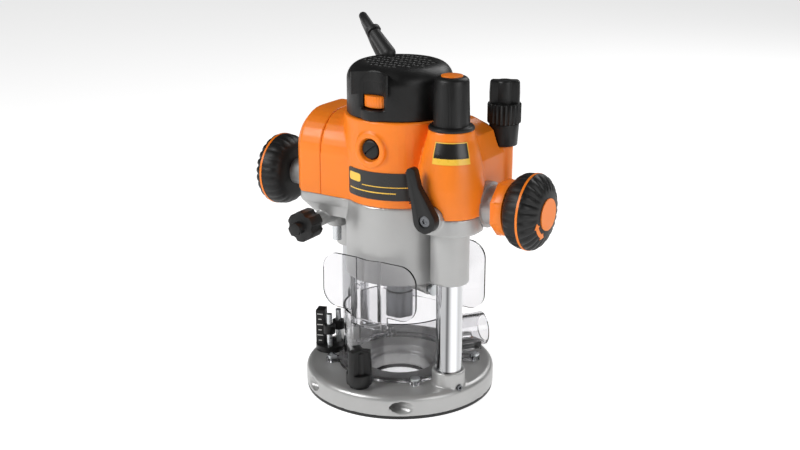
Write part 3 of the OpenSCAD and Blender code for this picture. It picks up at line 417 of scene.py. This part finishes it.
coarser = 1.0
for name, size in CASTINGS.items():
    soften(name, size * coarser)
for name in MOULDINGS:
    round_edges(name)
round_edges("lock_bolt", MATERIALS["dark_steel"])


# ---- new pieces, in mm ----

def solid_grid(name, point, columns, rows, material, body):
    """A thin closed sheet from point(u, v, side), u and v in 0..1. Side 1 is the one that u x v points to."""
    verts, faces = [], []
    for side in (0, 1):
        verts += [point(i / columns, j / rows, side) for j in range(rows + 1) for i in range(columns + 1)]
    wide, sheet = columns + 1, (columns + 1) * (rows + 1)
    for j in range(rows):
        for i in range(columns):
            a = j * wide + i
            b = sheet + a
            faces += [(a, a + wide, a + wide + 1, a + 1), (b, b + 1, b + wide + 1, b + wide)]
    rim = (list(range(wide)) + [j * wide + columns for j in range(1, rows + 1)]
           + [rows * wide + i for i in range(columns - 1, -1, -1)] + [j * wide for j in range(rows - 1, 0, -1)])
    faces += [(a, b, b + sheet, a + sheet) for a, b in zip(rim, rim[1:] + rim[:1])]
    obj = make_object(name, verts, faces, material)
    shade(obj.data)
    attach(obj, body)
    return obj


def turn_outwards(mesh):
    """All faces look out of the solid."""
    bm = bmesh.new()
    bm.from_mesh(mesh)
    bmesh.ops.recalc_face_normals(bm, faces=bm.faces)
    bm.to_mesh(mesh)
    bm.free()


def prism(name, rings, material, body, angle=32):
    """A closed solid through rings of equal point count, in mm, with flat ends."""
    n = len(rings[0])
    verts = [(x * MM, y * MM, z * MM) for ring in rings for x, y, z in ring]
    faces = [tuple(range(n - 1, -1, -1)), tuple((len(rings) - 1) * n + i for i in range(n))]
    for k in range(len(rings) - 1):
        faces += [(k * n + i, k * n + (i + 1) % n, (k + 1) * n + (i + 1) % n, (k + 1) * n + i)
                  for i in range(n)]
    obj = make_object(name, verts, faces, material, False)
    turn_outwards(obj.data)
    shade(obj.data, angle)
    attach(obj, body)
    return obj


def on_line(stops, x):
    """The height at x of a line through stops, which are (x, height) pairs in order."""
    for (x0, h0), (x1, h1) in zip(stops, stops[1:]):
        if x <= x1:
            return h0 + (h1 - h0) * (x - x0) / (x1 - x0)
    return stops[-1][1]


# ---- labels ----

FILM = 0.42
FILM_GAP = 0.05
TOWER_FILM = 0.36
PRINT = 0.06
NECK_R = 46.0
TOWER = (62, -22)
TOWER_SKIN = [(216, 24.15), (223, 22.7), (233, 19.7)]  # height, radius


def bent_patch(name, centre, radius, angles, heights, thick, material, round_off=0.0):
    """A printed film or strip that follows a round wall. radius is a number or a function of height."""
    low, high = heights

    def point(u, v, side):
        edge = min(v, 1 - v) * (high - low)
        cut = round_off - math.sqrt(max(0, round_off ** 2 - max(0, round_off - edge) ** 2)) if round_off else 0
        z = low + (high - low) * v
        r = radius(z) if callable(radius) else radius
        first, last = angles[0] + math.degrees(cut / r), angles[1] - math.degrees(cut / r)
        a = math.radians(first + (last - first) * u)
        r += thick * side
        return ((centre[0] + r * math.cos(a)) * MM, (centre[1] + r * math.sin(a)) * MM, z * MM)
    return solid_grid(name, point, 48, 20, material, "head")


def main_label():
    """A dark film round the housing with generic yellow marks."""
    film = bent_patch("main_label_film", (0, 0), NECK_R + FILM_GAP, (-123, -31), (178, 201), FILM,
                      MATERIALS["label"], round_off=2.2)
    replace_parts(film, "labels")
    for part, angles, heights, corner in (("block", (-120.5, -102), (190.5, 197.5), 2),
                                          ("line", (-100, -45), (188.7, 189.4), 0.0),
                                          ("rule", (-119.5, -62), (183.6, 184.5), 0.0)):
        bent_patch("main_label_" + part, (0, 0), NECK_R + FILM_GAP + FILM, angles, heights, PRINT,
                   MATERIALS["yellow"], round_off=corner)


def tower_label():
    """A dark film on the tower with a yellow strip and border."""
    bent_patch("tower_label_film", TOWER, lambda z: on_line(TOWER_SKIN, z), (-98, -22), (216, 233), TOWER_FILM,
               MATERIALS["label"])
    for part, angles, heights in (("strip", (-98, -22), (216, 220.6)), ("top", (-98, -22), (232.3, 233)),
                                  ("left", (-98, -96.4), (220, 233)), ("right", (-23.6, -22), (220, 233))):
        bent_patch("tower_label_" + part, TOWER, lambda z: on_line(TOWER_SKIN, z) + TOWER_FILM, angles, heights,
                   PRINT, MATERIALS["yellow"])


# ---- end cap ----

def scoop_wall():
    """The back of the recess above the speed dial."""
    centre_y, radius, thick, low, high = -56, 18.6, 1.6, 263, 281.3

    def point(u, v, side):
        a, r = math.radians(28 + 124 * u), radius + thick * side
        return (r * math.cos(a) * MM, (centre_y + r * math.sin(a)) * MM, (low + (high - low) * v) * MM)
    solid_grid("scoop_wall", point, 32, 8, MATERIALS["black"], "head")


def brush_cap(side):
    """A domed screw cap with a slot across it, in the round seat at the front (-1) or back (1)."""
    face_y, height, sides = 46, 219, 48
    profile = [(8, 9.2), (5.3, 9.2), (5.2, 7.9), (1.6, 7.9), (1.0, 7.7), (0.6, 7.2), (0.35, 6), (0.15, 4),
               (0.04, 2)]  # depth under the face, radius
    turns = [2 * math.pi * k / sides for k in range(sides)]
    rings = [[(r * math.cos(a), side * (face_y - depth), height + r * math.sin(a)) for a in turns]
             for depth, r in profile]
    cap = prism("brush_cap_" + ("front" if side < 0 else "back"), rings, MATERIALS["black"],
                NODE_BODY["brush_caps"], 40)
    lean = math.radians(38)
    slot = [(u * math.cos(lean) - v * math.sin(lean), u * math.sin(lean) + v * math.cos(lean))
            for u, v in ((-6.2, -0.85), (6.2, -0.85), (6.2, 0.85), (-6.2, 0.85))]
    mesh = bpy.data.meshes.new("slot_cutter")
    mesh.from_pydata([(u * MM, side * y * MM, (height + w) * MM) for y in (44.4, 47) for u, w in slot], [],
                     [(0, 1, 2, 3), (7, 6, 5, 4), (0, 4, 5, 1), (1, 5, 6, 2), (2, 6, 7, 3), (3, 7, 4, 0)])
    turn_outwards(mesh)
    cutter = bpy.data.objects.new("slot_cutter", mesh)
    scene.collection.objects.link(cutter)
    cut = cap.modifiers.new("slot", "BOOLEAN")
    cut.object, cut.operation, cut.solver = cutter, "DIFFERENCE", "EXACT"
    finish_mesh(cap)
    shade(cap.data, 40)
    bpy.data.objects.remove(cutter)
    bpy.data.meshes.remove(mesh)
    return cap


# ---- handles ----

HANDLE_YZ = (-3.5, 176.5)
RIGHT_X = 110.5
LEFT_X = -105
DIPS = 24
FACE_SKIN = [(14, 29.35), (16, 29.1), (18.5, 28.6), (21, 27.9), (23, 27)]  # radius, height along the axis


def share(value, start, length):
    """How far value is from start to start + length, kept in 0..1."""
    return max(0.0, min(1.0, (value - start) / length))


def handle(node, x, outwards, face_hole):
    """A round handle with scallops round its shoulders and a groove for its band. outwards is -1 or 1."""
    profile = [(0.0, 0.0), (10, 0), (19, 0), (21.8, 0.4), (24, 1.1), (26, 2.2), (27.6, 3.6), (29, 5.4),
               (30, 7.5), (30.7, 10), (31, 13), (31, 15.98), (29.4, 16.0), (29.4, 17.84), (31, 17.86), (31, 19),
               (30.5, 20.6), (29.6, 22), (28.4, 23.4), (26.8, 24.7), (25, 25.9), *reversed(FACE_SKIN),
               (face_hole, 29.4), (face_hole, 28.0), (0.0, 28.0)]
    sides, n = DIPS * 10, len(profile)
    verts, faces = [], []
    for k in range(sides):
        a = 2 * math.pi * k / sides
        wave = (0.5 + 0.5 * math.cos(DIPS * a)) ** 2
        for r, t in profile:
            front = share(t, 18, 3) * share(r, 18, 6)
            back = share(-t, -15, 3) * share(r, 25, 3)
            dip = 1.3 * wave * (front + 0.6 * back)
            across, along = r - dip * 0.8, t - dip * (0.6 if front else -0.3)
            verts.append(((x + outwards * along) * MM, (HANDLE_YZ[0] + across * math.cos(a)) * MM,
                          (HANDLE_YZ[1] + across * math.sin(a)) * MM))
    for k in range(sides):
        for i in range(n - 1):
            a, b = k * n + i, (k + 1) % sides * n + i
            faces.append((a, a + 1, b + 1, b) if outwards < 0 else (a, b, b + 1, a + 1))
    obj = make_object(node + "_look", verts, faces, MATERIALS["grip"])
    bm = bmesh.new()
    bm.from_mesh(obj.data)
    bmesh.ops.remove_doubles(bm, verts=bm.verts, dist=1e-7)
    bm.to_mesh(obj.data)
    bm.free()
    shade(obj.data, 40)
    stand_for(obj, node, MATERIALS["grip"])


def knob_arrow():
    """A two-headed arc printed on the face of the winder handle, which turns both ways."""
    def point(u, v, side):
        a = math.radians(-170 + 64 * u)
        head = max(0.0, 1 - min(u, 1 - u) / 0.22)
        spread = 1.6 if head == 0 else 3.3 * (1 - head)
        r = 18.3 + (2 * v - 1) * max(0.05, spread)
        along = on_line(FACE_SKIN, r) + 0.02 + 0.16 * (1 - side)
        return ((RIGHT_X + along) * MM, (HANDLE_YZ[0] + r * math.cos(a)) * MM,
                (HANDLE_YZ[1] + r * math.sin(a)) * MM)
    solid_grid("right_knob_arrow", point, 44, 6, MATERIALS["orange"], "winder")


# ---- small controls ----

def lever_ribs():
    """Moulded ribs along the thumb edge of the plunge lever."""
    pivot_x, pivot_z, front_y, back_y = 60, 172, -60.0, -53.6
    count, rib_r, corners = 16, 0.55, 8
    verts, faces = [], []
    for k in range(count):
        t = k / (count - 1)
        x, z = pivot_x - (13.55 + 3.6 * t), pivot_z + 13 + 24.5 * t
        base = len(verts)
        for y in (back_y, front_y):
            for i in range(corners):
                a = 2 * math.pi * i / corners
                verts.append(((x + rib_r * math.cos(a)) * MM, y * MM, (z + rib_r * math.sin(a)) * MM))
        near = [base + i for i in range(corners)]
        far = [corner + corners for corner in near]
        faces += [(near[i - 1], near[i], far[i], far[i - 1]) for i in range(corners)]
        faces += [tuple(reversed(near)), tuple(far)]
    obj = make_object("plunge_lever_ribs", verts, faces, MATERIALS["black"], False)
    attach(obj, "lock_lever")


def micro_winder():
    """The winder of the fine adjuster: a ribbed collar under a two-lobed grip."""
    x, y, z, sides = 79.7, 33.8, 236.2, 144
    lobe_turn = math.radians(28)

    def rib(a):
        return 13.1 + 0.85 * max(0, math.cos(24 * a))

    def lobe(a):
        return max(7.4, min(12.6, 5.1 / max(0.01, abs(math.sin(a - lobe_turn)))))
    rings = []
    for up, scale, outline in ((0, 0.97, rib), (0.6, 1, rib), (15.6, 1, rib), (16.5, 0.96, rib),
                               (16.6, 0.99, lobe), (25, 1, lobe), (33.4, 0.97, lobe), (34.5, 0.93, lobe),
                               (35, 0.86, lobe)):
        turns = [2 * math.pi * k / sides for k in range(sides)]
        rings.append([(x + scale * outline(a) * math.cos(a), y + scale * outline(a) * math.sin(a), z + up)
                      for a in turns])
    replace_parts(prism("micro_winder_grip", rings, MATERIALS["black"], NODE_BODY["micro_winder_knob"]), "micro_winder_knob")


def turret_marks():
    """Pale lines moulded on the edge of the turret block, one above another."""
    turret, reach, turn = (-64, -15), 8, math.radians(200)
    c, s = math.cos(turn), math.sin(turn)
    tall = 0.35  # half of a line's height
    verts, faces = [], []
    for k in range(6):
        z, half = 29 + 5 * k, 2.6 if k % 2 else 1.5
        base = len(verts)
        for y in (5.45, 5.62):
            for u, w in ((-half, -tall), (half, -tall), (half, tall), (-half, tall)):
                x = reach + u
                verts.append(((turret[0] + x * c - y * s) * MM, (turret[1] + x * s + y * c) * MM, (z + w) * MM))
        faces += [tuple(base + i for i in face) for face in
                  ((3, 2, 1, 0), (4, 5, 6, 7), (0, 1, 5, 4), (1, 2, 6, 5), (2, 3, 7, 6), (3, 0, 4, 7))]
    obj = make_object("turret_marks", verts, faces, MATERIALS["pale"], False)
    turn_outwards(obj.data)
    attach(obj, NODE_BODY["turret_body"])


main_label()
tower_label()
scoop_wall()
handle("left_knob", LEFT_X, -1, 6)
handle("right_knob", RIGHT_X, 1, 13)
knob_arrow()
lever_ribs()
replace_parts(brush_cap(-1), "brush_caps")
brush_cap(1)
micro_winder()
turret_marks()


# ---- floor and light ----

FLOOR_HALF = 6
MIDDLE = Vector((0, 0, 0.15))  # the lights look here


def area_light(name, place, size, power):
    data = bpy.data.lights.new(name, "AREA")
    data.shape, data.size, data.energy = "SQUARE", size, power
    light = bpy.data.objects.new(name, data)
    light.location = place
    light.rotation_euler = (MIDDLE - Vector(place)).to_track_quat("-Z", "Y").to_euler()
    scene.collection.objects.link(light)


paper = grain(new_material("floor_paper", (0.7, 0.7, 0.7), Emission_Strength=0.72),
              60, 0.00002, (0.75, 0.85), 0.004)
paper.node_tree.nodes["Principled BSDF"].inputs["Emission Color"].default_value = (1, 1, 1, 1)
floor_corners = [(x * FLOOR_HALF, y * FLOOR_HALF, 0) for x, y in ((-1, -1), (1, -1), (1, 1), (-1, 1))]
floor = make_object("floor", floor_corners, [(0, 1, 2, 3)], paper, False)
world = bpy.data.worlds.new("studio")
scene.world = world
world.use_nodes = True
sky = world.node_tree
where = sky.nodes.new("ShaderNodeTexCoord")
split = sky.nodes.new("ShaderNodeSeparateXYZ")
rise = sky.nodes.new("ShaderNodeMapRange")
for key, value in (("From Min", -0.05), ("From Max", 0.75), ("To Min", 0.35), ("To Max", 1.35)):
    rise.inputs[key].default_value = value
sky.links.new(where.outputs["Generated"], split.inputs["Vector"])
sky.links.new(split.outputs["Z"], rise.inputs["Value"])
sky.links.new(rise.outputs["Result"], sky.nodes["Background"].inputs["Strength"])
area_light("key", (-0.75, -1.2, 1.1), 0.7, 20)
area_light("fill", (1.5, -0.4, 0.7), 0.9, 9)
area_light("rim", (0.3, 1.3, 1.2), 1.0, 12)
scene.view_settings.view_transform = "Standard"
